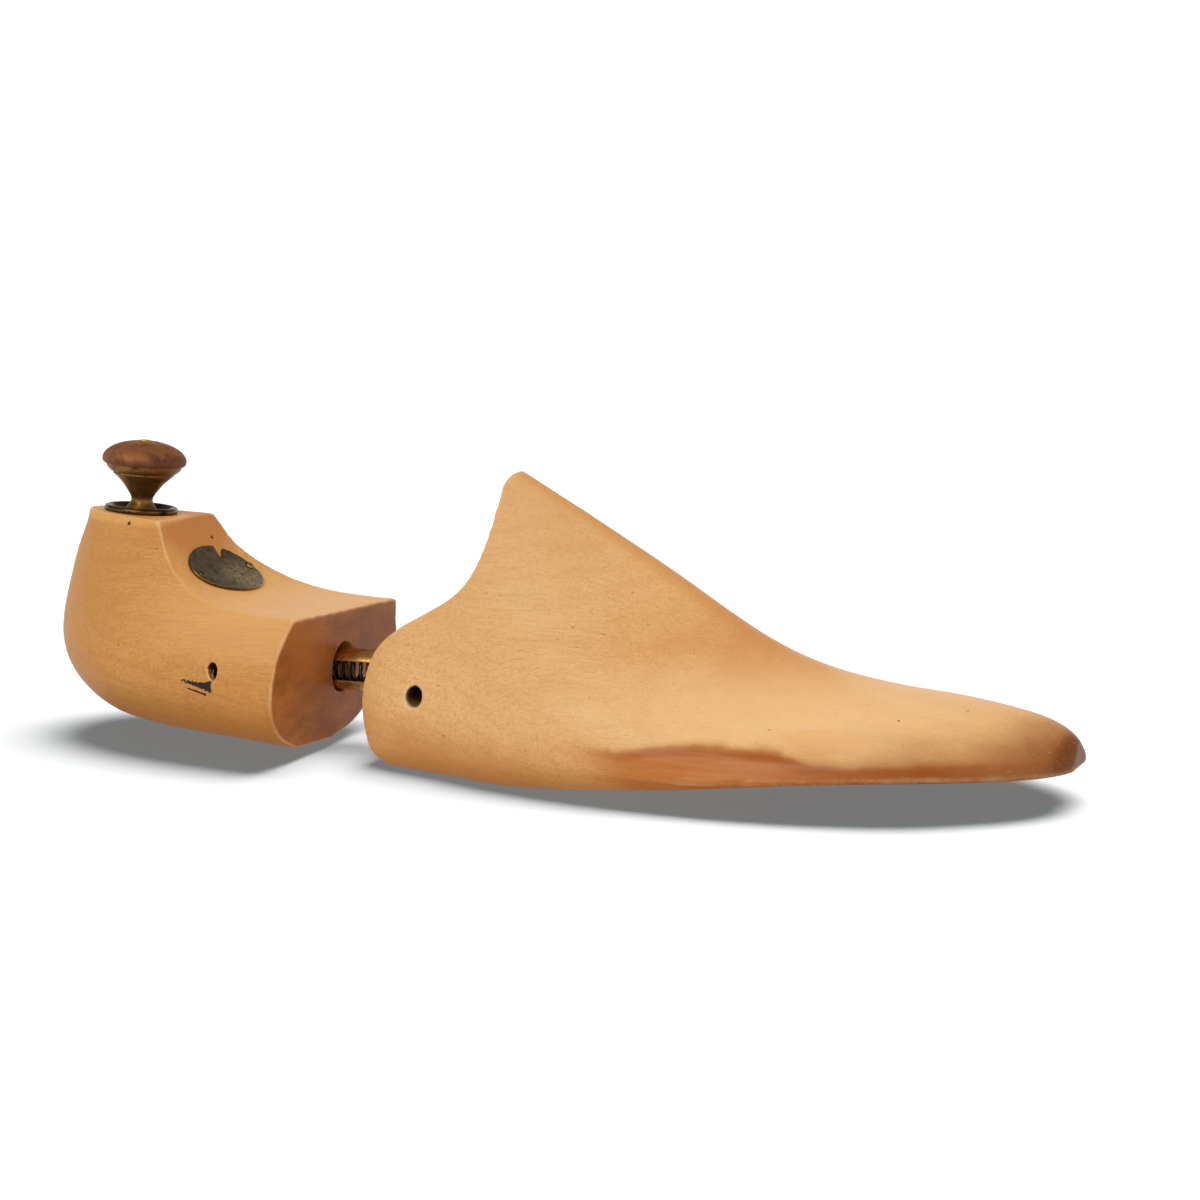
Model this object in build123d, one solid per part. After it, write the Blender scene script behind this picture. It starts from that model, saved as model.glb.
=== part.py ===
from build123d import *
from math import asin, atan2, cos, degrees, hypot, pi, radians, sin, sqrt, tan
import os

# Hinged spring shoe tree for one foot: a heel block slides on a slotted tube against a
# coil spring, and the toe block turns on a pin through the front end of that tube.
#
# Frame: millimetres, +X towards the toe, +Y towards the far side, +Z up, floor at Z = 0,
# origin under the middle of the tree.

# ---- driving dimensions -------------------------------------------------------------
TUBE_Z = 20.0            # height of the tube's axis above the floor
TUBE_OD, TUBE_ID = 11.0, 9.0
SLOT_HEIGHT = 5.2        # slot cut through both sides of the tube
HEEL_PIN_X = -78.0
PIVOT_X = -26.0
TRAVEL = 12.0            # how far the heel block can be pushed towards the toe
TWIST = -4.0             # the heel half stands turned about the tube, far side down

HEEL_FACE_X = -58.7      # flat front face of the heel block, at the tube's height
HEEL_FACE_LEAN = 3.4     # its top leans this far forward, degrees
HEEL_TOP_Z = 58.2        # flat top, under the middle of the knob
HEEL_TOP_SLOPE = 3.4     # the flat top falls towards the toe, degrees
HOLLOW_REAR_X = -106.6   # the flat top ends and the hollow begins here
HOLLOW_END = (-32.0, 35.6)   # the hollow's curve runs on past the face
KNOB_X = -120.0

CROSS_HOLE_D = 5.0       # side holes, drilled in from both sides
PIN_D = 4.6
PIN_RECESS = 9.0         # both pins end this deep in their side holes
RUNNING_GAP = 0.05       # radial gap where a pin turns

BORE_D = 11.5            # tube's bore in the heel block
MOUTH_D, MOUTH_DEPTH, MOUTH_RISE = 13.4, 12.0, 0.5

SPINDLE_D, SPINDLE_TIP_D, SPINDLE_DEPTH = 4.0, 2.6, 18.0
RING_R = 9.9
CAP_R, CAP_RIM_Z, CAP_DOME, CAP_T = 11.25, 14.1, 5.2, 0.7   # heights above the flat top
PEEN_R, PEEN_Z = 1.6, 18.3

PLATE_X = -94.5          # oval plate on the hollow of the heel block
PLATE_ACROSS, PLATE_ALONG, PLATE_T = 31.0, 18.6, 0.8
PLATE_PIN_Y = 13.6
PLATE_PIN_R, PLATE_PIN_SHANK_D, PLATE_PIN_LENGTH = 1.35, 1.2, 8.0
PLATE_PIN_DOME = 0.85    # height of a pin's head above the plate

SPRING_OD, WIRE_D, SPRING_TURNS = 8.4, 1.0, 19
PLUG_X0, TUBE_FRONT_X = -36.0, -19.0
TUBE_REAR_X = -90.0
MORTISE_GAP = 0.3        # free space each side of the tube in the toe block
MORTISE_UP = 30.0        # how far the tube may swing up in the mortise, degrees

HEEL_HALF_AT_PIN, TOE_HALF_AT_PIN = 38.0, 29.0   # from the tube's axis to the blocks' sides
PIN_HALF_HEEL = HEEL_HALF_AT_PIN - PIN_RECESS
PIN_HALF_TOE = TOE_HALF_AT_PIN - PIN_RECESS
BEYOND = 100             # cutters reach this far past the wood

# ---- heel block: stations from the sole up: height, middle and half width at the face, rear ---
HEEL_STATIONS = [(1.9, -14.8, 8.5, -102), (2.5, -14.0, 12.5, -109), (3.6, -13.0, 17.2, -116.5),
                 (6.4, -11.7, 24.1, -125), (11.3, -9.9, 30.4, -131.5), (16.6, -7.5, 34.5, -135.7),
                 (22.0, -5.0, 36.4, -138.0), (27.0, -3.8, 36.0, -138.9), (31.0, -2.9, 34.0, -139.1),
                 (36.0, -0.8, 31.1, -138.8), (42.0, 0.0, 27.0, -138.1), (50.0, 0.0, 21.5, -136.6),
                 (60.0, 0.0, 16.5, -134.4), (68.0, 0.0, 14.0, -132.3)]
HEEL_WIDEST_X = -62.0
HEEL_PLAN_POWER = 2.4    # 2 is an ellipse, and more is squarer
HEEL_FRONT_POWER = 3.0
HEEL_FRONT_REACH = 26.0
HEEL_PLAN_POINTS = 28
BORE_SPARE = 4.0         # bore left free behind the tube at full travel

# ---- toe block: stations along it: X, half width, ridge height, sole height, ridge radius ---
TOE_STATIONS = [(-48, 16.0, 84.0, -2.0, 3.5), (-42, 22.4, 84.0, -2.0, 3.5),
                (-36, 25.8, 84.0, -2.0, 3.5), (-26, 29.2, 82.4, -1.8, 3.5),
                (-14, 33.6, 78.2, -1.4, 3.6), (-2, 38.4, 72.0, -0.8, 4.0),
                (12, 42.2, 64.1, 0.4, 5.5), (26, 44.8, 56.0, 2.0, 7.5),
                (40, 46.2, 47.4, 3.6, 10.0), (54, 46.6, 38.6, 5.2, 15.0),
                (68, 46.0, 31.6, 6.8, 26.0), (82, 44.2, 27.4, 8.2, 45.0),
                (96, 40.8, 25.2, 9.2, 60.0), (110, 35.4, 23.8, 9.8, 60.0),
                (122, 28.0, 22.2, 9.9, 45.0), (130, 21.6, 20.8, 9.7, 26.0),
                (136, 14.6, 18.6, 9.5, 12.0), (139.6, 6.5, 15.4, 9.6, 3.0)]
TOE_SHOULDER = 0.30      # widest point of a section, as a share of its height (up to THICK)
TOE_THICK = 60.0
SHOULDER_R, CORNER_R = 0.34, 0.17   # rounding radii, as shares of that height

TUBE_AXIS = Axis((0, 0, TUBE_Z), (1, 0, 0))


def twisted(shape):
    """Turn a piece of the heel half about the tube's axis."""
    return shape.rotate(TUBE_AXIS, TWIST)


def rod(x0, x1, diameter, y=0.0, z=TUBE_Z):
    """Round bar along X."""
    middle = Pos((x0 + x1) / 2, y, z) * Rot(0, 90, 0)
    return middle * Cylinder(diameter / 2, x1 - x0)


def cross_rod(x, length, diameter, z=TUBE_Z):
    """Round bar along Y, centred on the tube's axis."""
    return Pos(x, 0, z) * Rot(90, 0, 0) * Cylinder(diameter / 2, length)


def side_face(lines):
    """Face in the XZ plane from lines that close and are drawn as pairs of X and Z."""
    return make_face([edge for line in lines for edge in (Plane.XZ * line).edges()])


def slab(lines, half_width):
    """Solid of a closed side-view outline across the whole width."""
    return extrude(side_face(lines), amount=half_width, both=True)


# ---- heel block -----------------------------------------------------------------------
def heel_station(z, middle_y, half_width, rear_x):
    """Plan outline at one height: full round rear, blunt front that is cut off later."""
    points = []
    length = HEEL_WIDEST_X - rear_x
    for i in range(HEEL_PLAN_POINTS):
        angle = 2 * pi * i / HEEL_PLAN_POINTS
        c, s = cos(angle), sin(angle)
        reach = HEEL_FRONT_REACH if c > 0 else length
        power = 2 / (HEEL_FRONT_POWER if c > 0 else HEEL_PLAN_POWER)
        x = HEEL_WIDEST_X + reach * abs(c) ** power * (1 if c > 0 else -1)
        y = half_width * abs(s) ** power * (1 if s > 0 else -1)
        y += middle_y * min(1, (x - rear_x) / length)
        points.append(Vector(x, y, z))
    return Wire([Edge.make_spline(points, periodic=True)])


def flat_top_z(x):
    """Height of the sloping flat top."""
    return HEEL_TOP_Z - tan(radians(HEEL_TOP_SLOPE)) * (x - KNOB_X)


def hollow_curve():
    """Side-view curve of the hollow in front of the knob, from the top's edge forward."""
    start = (HOLLOW_REAR_X, flat_top_z(HOLLOW_REAR_X))
    return Spline(start, (-96.4, 44.6), (-82.0, 38.0), (-56.0, 35.9), HOLLOW_END,
                  tangents=[(0.42, -0.91), (1, 0)])


def heel_cutters():
    """Everything above the flat top and the hollow, and in front of the face."""
    rear = KNOB_X - BEYOND
    with BuildSketch(Plane.XZ) as above:
        with BuildLine():
            add(hollow_curve())
            Polyline(HOLLOW_END, (HOLLOW_END[0], BEYOND), (rear, BEYOND), (rear, flat_top_z(rear)),
                     (HOLLOW_REAR_X, flat_top_z(HOLLOW_REAR_X)))
        make_face()
    top_cut = extrude(above.sketch, amount=BEYOND, both=True)
    face = Pos(HEEL_FACE_X, 0, TUBE_Z) * Rot(0, HEEL_FACE_LEAN, 0)
    return top_cut, face * Pos(BEYOND, 0, 0) * Box(2 * BEYOND, 2 * BEYOND, 2 * BEYOND)


def build_heel_block():
    body = Solid.make_loft([heel_station(*s) for s in HEEL_STATIONS])
    top_cut, front_cut = heel_cutters()
    body = body - top_cut - front_cut
    bore_end = TUBE_REAR_X - TRAVEL - BORE_SPARE
    body -= rod(bore_end, HEEL_FACE_X + 10, BORE_D)
    body -= rod(HEEL_FACE_X - MOUTH_DEPTH, HEEL_FACE_X + 10, MOUTH_D, z=TUBE_Z + MOUTH_RISE)
    body -= cross_rod(HEEL_PIN_X, 2 * PIN_HALF_HEEL, PIN_D)
    for side in (-1, 1):
        hole = Pos(HEEL_PIN_X, side * (PIN_HALF_HEEL + 20), TUBE_Z) * Rot(90, 0, 0)
        body -= hole * Cylinder(CROSS_HOLE_D / 2, 40)
    body -= knob_place() * Pos(0, 0, -SPINDLE_DEPTH / 2) * Cylinder(SPINDLE_D / 2, SPINDLE_DEPTH)
    for side in (-1, 1):
        body -= plate_pin_place(side) * Pos(0, 0, -PLATE_PIN_LENGTH / 2) * Cylinder(
            PLATE_PIN_SHANK_D / 2, PLATE_PIN_LENGTH)
    return twisted(body)


def knob_place():
    """Local frame of the knob: on the flat top, square to it."""
    return Pos(KNOB_X, 0, HEEL_TOP_Z) * Rot(0, HEEL_TOP_SLOPE, 0)


# ---- knob, turned about its own axis ------------------------------------------------------
def turned(*lines):
    """Solid of revolution about Z of a closed outline drawn as radius and height."""
    return revolve(side_face(lines), Axis.Z)


def build_spindle():
    """Threaded stud in the wood, turned down through the stem and peened over the cap."""
    tip = CAP_RIM_Z + CAP_DOME
    bar = Pos(0, 0, (9.0 - SPINDLE_DEPTH) / 2) * Cylinder(SPINDLE_D / 2, SPINDLE_DEPTH + 9.0)
    bar += Pos(0, 0, (9.0 + tip) / 2) * Cylinder(SPINDLE_TIP_D / 2, tip - 9.0)
    bar += Pos(0, 0, (PEEN_Z + tip + 0.1) / 2) * Cylinder(PEEN_R, tip + 0.1 - PEEN_Z)
    bar -= Pos(0, 0, tip + 0.9) * Sphere(1.3)
    return bar


def build_stem():
    outline = [
        Line((0, 0.45), (4.4, 0.45)),
        Spline((4.4, 0.45), (4.1, 1.2), (2.86, 3.4), tangents=[(0, 1), (-0.1, 1)]),
        Spline((2.86, 3.4), (3.6, 5.1), (5.4, 7.6), (8.3, 10.3), tangents=[(0.1, 1), (1, 0.85)]),
        Polyline((8.3, 10.3), (8.05, 10.55), (8.75, 10.8)),
        Spline((8.75, 10.8), (9.8, 11.8), (10.15, 12.95), tangents=[(1, 0.75), (0.1, 1)]),
        Line((10.15, 12.95), (CAP_R - CAP_T, CAP_RIM_Z)),
        EllipticalCenterArc((0, CAP_RIM_Z), CAP_R - CAP_T, CAP_DOME - CAP_T, start_angle=0, arc_size=90),
        Line((0, CAP_RIM_Z + CAP_DOME - CAP_T), (0, 0.45)),
    ]
    stem = turned(*outline)
    stem -= Pos(0, 0, 4.5) * Cylinder(SPINDLE_D / 2, 9.0)
    stem -= Pos(0, 0, 19) * Cylinder(SPINDLE_TIP_D / 2, 22)
    return stem - Pos(0, 0, PEEN_Z + 5) * Cylinder(PEEN_R, 10)


def build_cap():
    """Pressed shell over the stem's crown, with its rim rolled in under the edge."""
    outline = [
        EllipticalCenterArc((0, CAP_RIM_Z), CAP_R - CAP_T, CAP_DOME - CAP_T, start_angle=0, arc_size=90),
        Polyline((CAP_R - CAP_T, CAP_RIM_Z), (10.15, 12.95), (10.35, 12.8)),
        Spline((10.35, 12.8), (CAP_R - 0.2, 13.3), (CAP_R, CAP_RIM_Z), tangents=[(1, 0.1), (0, 1)]),
        EllipticalCenterArc((0, CAP_RIM_Z), CAP_R, CAP_DOME, start_angle=0, arc_size=90),
        Line((0, CAP_RIM_Z + CAP_DOME), (0, CAP_RIM_Z + CAP_DOME - CAP_T)),
    ]
    return turned(*outline) - Pos(0, 0, 19) * Cylinder(PEEN_R, 6)


def build_ring():
    outline = [
        Polyline((SPINDLE_D / 2, 0), (RING_R - 0.5, 0)),
        ThreePointArc((RING_R - 0.5, 0), (RING_R, 0.8), (RING_R - 0.9, 1.7)),
        Spline((RING_R - 0.9, 1.7), (RING_R - 1.8, 1.3), (RING_R - 2.4, 0.7), (5.4, 0.45),
               tangents=[(-1, 0), (-1, 0)]),
        Polyline((5.4, 0.45), (SPINDLE_D / 2, 0.45), (SPINDLE_D / 2, 0)),
    ]
    return turned(*outline)


# ---- oval plate on the hollow ---------------------------------------------------------------
def hollow_point(x):
    """Height and slope angle of the hollow above the given X."""
    curve = hollow_curve().edges()[0]
    low, high = 0.0, 1.0
    for _ in range(40):
        middle = (low + high) / 2
        if (curve @ middle).X < x:
            low = middle
        else:
            high = middle
    tangent = curve % low
    return (curve @ low).Y, degrees(atan2(tangent.Y, tangent.X))


def plate_place():
    """Local frame at the middle of the plate: X down the hollow, Z away from the wood."""
    height, slope = hollow_point(PLATE_X)
    return Pos(PLATE_X, 0, height) * Rot(0, -slope, 0)


def plate_pin_place(side):
    return plate_place() * Pos(0, side * PLATE_PIN_Y, 0)


def build_plate():
    height, slope = hollow_point(PLATE_X)
    lift = Vector(-sin(radians(slope)), cos(radians(slope))) * PLATE_T
    lower = hollow_curve()
    upper = Pos(lift.X, lift.Y, 0) * lower
    sheet = slab([lower, upper, Line(lower @ 0, upper @ 0), Line(lower @ 1, upper @ 1)], 22)
    oval = extrude(Ellipse(PLATE_ALONG / 2, PLATE_ACROSS / 2), amount=9, both=True)
    tear = extrude(make_face(Polyline((-9.6, 5.4), (-8.4, 9.8), (-3.9, 3.7), close=True)), 9, both=True)
    plate = sheet & (plate_place() * (oval - tear))
    for side in (-1, 1):
        plate -= build_plate_pin(side)
    return plate


def build_plate_pin(side):
    shank = Pos(0, 0, (PLATE_T - PLATE_PIN_LENGTH) / 2) * Cylinder(
        PLATE_PIN_SHANK_D / 2, PLATE_PIN_LENGTH + PLATE_T)
    radius = (PLATE_PIN_R ** 2 + PLATE_PIN_DOME ** 2) / (2 * PLATE_PIN_DOME)
    ball = Pos(0, 0, PLATE_T + PLATE_PIN_DOME - radius) * Sphere(radius)
    head = ball & Pos(0, 0, PLATE_T + 1) * Box(4, 4, 2)
    return plate_pin_place(side) * (shank + head)


# ---- tube, spring and pins ----------------------------------------------------------------------
def build_tube():
    tube = rod(TUBE_REAR_X, TUBE_FRONT_X, TUBE_OD) - rod(TUBE_REAR_X - 1, TUBE_FRONT_X + 1, TUBE_ID)
    slot_rear = HEEL_PIN_X - SLOT_HEIGHT / 2
    slot_front = PLUG_X0 - 1.0
    length = slot_front - slot_rear
    slot = Pos((slot_rear + slot_front) / 2, 0, TUBE_Z) * Rot(90, 0, 0) * extrude(
        SlotOverall(length, SLOT_HEIGHT), amount=10, both=True)
    tube = twisted(tube - slot)
    return tube - cross_rod(PIVOT_X, 20, PIN_D + 2 * RUNNING_GAP)


def build_plug():
    plug = rod(PLUG_X0, TUBE_FRONT_X, TUBE_ID)
    return plug - cross_rod(PIVOT_X, 20, PIN_D + 2 * RUNNING_GAP)


def build_spring():
    start = HEEL_PIN_X + PIN_D / 2 + WIRE_D / 2 + 0.1
    end = PLUG_X0 - WIRE_D / 2 - 0.1
    radius = (SPRING_OD - WIRE_D) / 2
    path = Helix((end - start) / SPRING_TURNS, end - start, radius)
    section = Plane(path @ 0, z_dir=path % 0) * Circle(WIRE_D / 2)
    coil = sweep(section, path, is_frenet=True)
    return Pos(start, 0, TUBE_Z) * Rot(0, 90, 0) * coil


def build_heel_pin():
    return twisted(cross_rod(HEEL_PIN_X, 2 * PIN_HALF_HEEL, PIN_D))


def build_pivot_pin():
    return cross_rod(PIVOT_X, 2 * PIN_HALF_TOE, PIN_D)


# ---- toe block -------------------------------------------------------------------------------------
def toe_station(x, half_width, ridge, sole, ridge_radius):
    """Section across the block: flat sole and flanks, rounded corners, shoulders and ridge."""
    height = min(ridge - sole, TOE_THICK)
    shoulder = sole + TOE_SHOULDER * height
    centre = ridge - ridge_radius - shoulder
    slope = atan2(centre, half_width) + asin(ridge_radius / hypot(centre, half_width))
    apex = shoulder + half_width * tan(slope)
    foot = half_width - 0.05 * height
    corners = [(0, apex), (half_width, shoulder), (foot, sole), (-foot, sole), (-half_width, shoulder)]
    rounding = [height * SHOULDER_R, height * CORNER_R]
    radii = [ridge_radius] + rounding + rounding[::-1]
    outline = FilletPolyline(*corners, radius=radii, close=True)
    across = Plane(origin=(x, 0, 0), x_dir=(0, 1, 0), z_dir=(1, 0, 0))
    return Wire((across * outline).edges())


def toe_side_outline():
    """Side view: rounded rear end, the sweep up to the peak, open above the ridge."""
    return [
        Polyline((-36.0, 0), (160, 0), (160, 110), (18, 110), (-4.0, 75.0)),
        ThreePointArc((-4.0, 75.0), (-8.0, 75.2), (-11.0, 71.5)),
        Spline((-11.0, 71.5), (-12.8, 56.5), (-16.9, 47.1), (-24.1, 41.4), (-32.5, 36.6),
               (-40.2, 30.0), (-44.2, 17.0), (-42.6, 5.0), (-36.0, 0),
               tangents=[(-0.1, -1), (1, -0.35)]),
    ]


def mortise():
    """Slot from the rear end that lets the tube swing about the pivot pin."""
    half = TUBE_OD / 2 + MORTISE_GAP
    clear = sqrt((TUBE_FRONT_X - PIVOT_X) ** 2 + (TUBE_OD / 2) ** 2) + 2 * MORTISE_GAP
    outline = Pos(PIVOT_X, TUBE_Z) * Circle(clear)
    for angle in (0, -MORTISE_UP / 3, -2 * MORTISE_UP / 3, -MORTISE_UP):
        outline += Pos(PIVOT_X, TUBE_Z) * Rot(0, 0, angle) * Pos(-20, 0) * Rectangle(40, 2 * half)
    return extrude(Plane.XZ * outline, amount=half, both=True)


def build_toe_block():
    body = Solid.make_loft([toe_station(*s) for s in TOE_STATIONS])
    body = body & slab(toe_side_outline(), 80)
    body -= mortise()
    body -= cross_rod(PIVOT_X, 2 * PIN_HALF_TOE, PIN_D)
    for side in (-1, 1):
        hole = Pos(PIVOT_X, side * (PIN_HALF_TOE + 20), TUBE_Z) * Rot(90, 0, 0)
        body -= hole * Cylinder(CROSS_HOLE_D / 2, 40)
    return body


def place_on_knob(shape):
    return twisted(knob_place() * shape)


def main():
    os.makedirs("parts", exist_ok=True)
    parts = {
        "heel_block": build_heel_block(),
        "toe_block": build_toe_block(),
        "slide_tube": build_tube(),
        "tube_plug": build_plug(),
        "spring": build_spring(),
        "heel_pin": build_heel_pin(),
        "pivot_pin": build_pivot_pin(),
        "knob_ring": place_on_knob(build_ring()),
        "knob_stem": place_on_knob(build_stem()),
        "knob_cap": place_on_knob(build_cap()),
        "knob_spindle": place_on_knob(build_spindle()),
        "oval_plate": twisted(build_plate()),
        "plate_pin_near": twisted(build_plate_pin(-1)),
        "plate_pin_far": twisted(build_plate_pin(1)),
    }
    for name, shape in parts.items():
        export_step(shape, f"parts/{name}.step")
        print(name, round(shape.volume), shape.bounding_box().min, shape.bounding_box().max)


main()
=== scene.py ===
# Shoe tree: two worn beech blocks on a slotted brass tube, with patinated brass and bronze fittings.
# Lengths are metres, and the patterns' coordinates are millimetres of each piece's own frame.
import math

import bmesh
import bpy
import numpy as np
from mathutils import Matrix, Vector, noise
from mathutils.bvhtree import BVHTree


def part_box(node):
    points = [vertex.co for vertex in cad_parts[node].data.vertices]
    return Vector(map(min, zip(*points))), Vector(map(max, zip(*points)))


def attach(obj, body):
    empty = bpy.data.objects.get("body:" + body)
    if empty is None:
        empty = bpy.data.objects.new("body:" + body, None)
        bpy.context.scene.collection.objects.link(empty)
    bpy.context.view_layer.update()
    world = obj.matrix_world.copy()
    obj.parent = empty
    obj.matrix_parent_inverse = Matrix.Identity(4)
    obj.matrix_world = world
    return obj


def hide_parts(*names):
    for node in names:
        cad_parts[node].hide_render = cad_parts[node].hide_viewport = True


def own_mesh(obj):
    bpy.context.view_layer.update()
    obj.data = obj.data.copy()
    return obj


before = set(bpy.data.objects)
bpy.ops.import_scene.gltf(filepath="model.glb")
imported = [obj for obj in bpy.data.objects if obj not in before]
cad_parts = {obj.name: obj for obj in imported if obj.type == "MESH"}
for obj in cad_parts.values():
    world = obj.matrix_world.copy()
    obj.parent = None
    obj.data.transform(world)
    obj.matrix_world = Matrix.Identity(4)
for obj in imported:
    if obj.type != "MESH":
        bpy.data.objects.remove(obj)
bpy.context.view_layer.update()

MM = 0.001
GRAIN = (1, 0, 0)
UP = (0, 0, 1)
FLOOR_LEVEL = -0.1 * MM
ROOM_RADIUS = 7.0
WALL_HEIGHT = 2.0

scene = bpy.context.scene
scene.view_settings.view_transform = "Standard"


def srgb(red, green, blue):
    """An 8-bit screen colour as linear RGBA."""
    def linear(value):
        value = value / 255
        return value / 12.92 if value <= 0.04045 else ((value + 0.055) / 1.055) ** 2.4
    return (linear(red), linear(green), linear(blue), 1.0)


def spot_in(node, fx, fy, fz):
    """The point at these fractions of a node's box, in millimetres."""
    low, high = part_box(node)
    return tuple((low[i] + (high[i] - low[i]) * f) / MM for i, f in enumerate((fx, fy, fz)))


def x_in(node, share):
    return spot_in(node, share, 0, 0)[0]


def y_in(node, share):
    return spot_in(node, 0, share, 0)[1]


def z_in(node, share):
    return spot_in(node, 0, 0, share)[2]


TORN_MOUTH = Vector(spot_in("heel_block", 0.763, 0.029, 0.405))
NAIL_HOLES = (spot_in("heel_block", 0.281, 0.415, 0.963), spot_in("heel_block", 0.441, 0.709, 0.855))


# ---------------------------------------------------------------- materials

class Look:
    """A node material around one Principled shader, with short calls for the nodes it needs."""

    def __init__(self, name):
        self.material = bpy.data.materials.new(name)
        self.material.use_nodes = True
        self.nodes = self.material.node_tree.nodes
        self.links = self.material.node_tree.links
        self.nodes.clear()
        output = self.nodes.new("ShaderNodeOutputMaterial")
        self.shader = self.nodes.new("ShaderNodeBsdfPrincipled")
        self.links.new(self.shader.outputs[0], output.inputs["Surface"])
        coords = self.nodes.new("ShaderNodeTexCoord").outputs
        self.mm = self.vector("MULTIPLY", coords["Object"], (1 / MM,) * 3)
        self.normal = coords["Normal"]

    def put(self, socket, value):
        if isinstance(value, bpy.types.NodeSocket):
            self.links.new(value, socket)
        elif value is not None:
            socket.default_value = value

    def math(self, operation, a, b=None):
        node = self.nodes.new("ShaderNodeMath")
        node.operation = operation
        for socket, value in zip(node.inputs, (a, b)):
            self.put(socket, value)
        return node.outputs[0]

    def times(self, *values):
        """The product of two or more values."""
        product = values[0]
        for value in values[1:]:
            product = self.math("MULTIPLY", product, value)
        return product

    def vector(self, operation, a, b=None):
        node = self.nodes.new("ShaderNodeVectorMath")
        node.operation = operation
        self.put(node.inputs[0], a)
        self.put(node.inputs[1], b)
        return node.outputs["Value" if operation in ("LENGTH", "DOT_PRODUCT") else "Vector"]

    def split(self, vector):
        node = self.nodes.new("ShaderNodeSeparateXYZ")
        self.put(node.inputs[0], vector)
        return node.outputs

    def facing(self, direction):
        """How far the surface faces a direction, from -1 to 1."""
        return self.vector("DOT_PRODUCT", self.normal, direction)

    def noise(self, vector, size, detail=3.0, rough=0.55):
        """Fractal noise, 0 to 1, with features of the given size or sizes along the axes."""
        sizes = (size,) * 3 if isinstance(size, (int, float)) else size
        node = self.nodes.new("ShaderNodeTexNoise")
        self.put(node.inputs["Vector"], self.vector("DIVIDE", vector, sizes))
        node.inputs["Scale"].default_value = 1.0
        node.inputs["Detail"].default_value = detail
        node.inputs["Roughness"].default_value = rough
        return node.outputs["Fac"]

    def cells(self, vector, size):
        """Distance to the nearest point of a random scatter, in cells."""
        sizes = (size,) * 3 if isinstance(size, (int, float)) else size
        node = self.nodes.new("ShaderNodeTexVoronoi")
        self.put(node.inputs["Vector"], self.vector("DIVIDE", vector, sizes))
        node.inputs["Scale"].default_value = 1.0
        return node.outputs["Distance"]

    def step(self, value, low, high, to_low=0.0, to_high=1.0):
        """A smooth step from to_low to to_high as the value goes from low to high."""
        node = self.nodes.new("ShaderNodeMapRange")
        node.interpolation_type = "SMOOTHSTEP"
        for socket, number in zip(node.inputs, (value, low, high, to_low, to_high)):
            self.put(socket, number)
        return node.outputs[0]

    def mix(self, factor, a, b, blend="MIX"):
        node = self.nodes.new("ShaderNodeMix")
        node.data_type = "RGBA"
        node.blend_type = blend
        self.put(node.inputs[0], factor)
        self.put(node.inputs[6], a)
        self.put(node.inputs[7], b)
        return node.outputs[2]

    def grey(self, value):
        node = self.nodes.new("ShaderNodeCombineColor")
        for socket in node.inputs:
            self.put(socket, value)
        return node.outputs[0]

    def patch(self, vector, centre, radii, soft=0.5):
        """1 inside an ellipsoid and 0 outside it, with a soft rim."""
        offset = self.vector("SUBTRACT", vector, tuple(centre))
        away = self.vector("LENGTH", self.vector("DIVIDE", offset, radii))
        return self.step(away, 1.0 - soft, 1.0 + soft, 1.0, 0.0)

    def stroke(self, vector, start, end, thin, thick):
        """1 inside a pen stroke seen along Y, which widens from thin to thick."""
        run = Vector((end.x - start.x, 0, end.z - start.z))
        along, side = run.normalized(), Vector((run.z, 0, -run.x)).normalized()
        offset = self.vector("SUBTRACT", vector, tuple(start))
        t = self.math("DIVIDE", self.vector("DOT_PRODUCT", offset, tuple(along)), run.length)
        away = self.math("ABSOLUTE", self.vector("DOT_PRODUCT", offset, tuple(side)))
        width = self.math("ADD", self.math("MULTIPLY", t, thick - thin), thin)
        inside = self.step(self.math("SUBTRACT", away, width), -0.12, 0.12, 1.0, 0.0)
        ends = self.math("MULTIPLY", self.step(t, -0.02, 0.03), self.step(t, 0.97, 1.02, 1.0, 0.0))
        return self.math("MULTIPLY", inside, ends)

    def warped(self, vector, size, amount):
        """The coordinates pushed about by noise, so that an edge drawn with them wanders."""
        node = self.nodes.new("ShaderNodeTexNoise")
        self.put(node.inputs["Vector"], self.vector("DIVIDE", vector, (size,) * 3))
        node.inputs["Scale"].default_value = 1.0
        node.inputs["Detail"].default_value = 2.0
        shift = self.vector("SUBTRACT", node.outputs["Color"], (0.5, 0.5, 0.5))
        return self.vector("ADD", vector, self.vector("MULTIPLY", shift, (2 * amount,) * 3))

    def bump(self, layers):
        """Stacked bumps, each a height from 0 to 1, its depth in millimetres and its strength."""
        normal = None
        for height, depth, strength in layers:
            node = self.nodes.new("ShaderNodeBump")
            node.inputs["Distance"].default_value = depth * MM
            node.inputs["Strength"].default_value = strength
            self.put(node.inputs["Height"], height)
            self.put(node.inputs["Normal"], normal)
            normal = node.outputs[0]
        self.put(self.shader.inputs["Normal"], normal)

    def finish(self, colour, roughness, metallic=0.0, **constants):
        self.put(self.shader.inputs["Base Color"], colour)
        self.put(self.shader.inputs["Roughness"], roughness)
        self.put(self.shader.inputs["Metallic"], metallic)
        for name, value in constants.items():
            self.shader.inputs[name.replace("_", " ")].default_value = value
        return self.material


DARK = srgb(48, 26, 13)
INK = srgb(14, 11, 11)
WORN = srgb(250, 216, 168)
RED_BROWN = srgb(140, 78, 38)
HEEL_TONES = (srgb(214, 162, 94), srgb(204, 148, 80), srgb(176, 112, 52))
TOE_TONES = (srgb(234, 190, 133), srgb(225, 177, 118), srgb(203, 145, 82))


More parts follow.
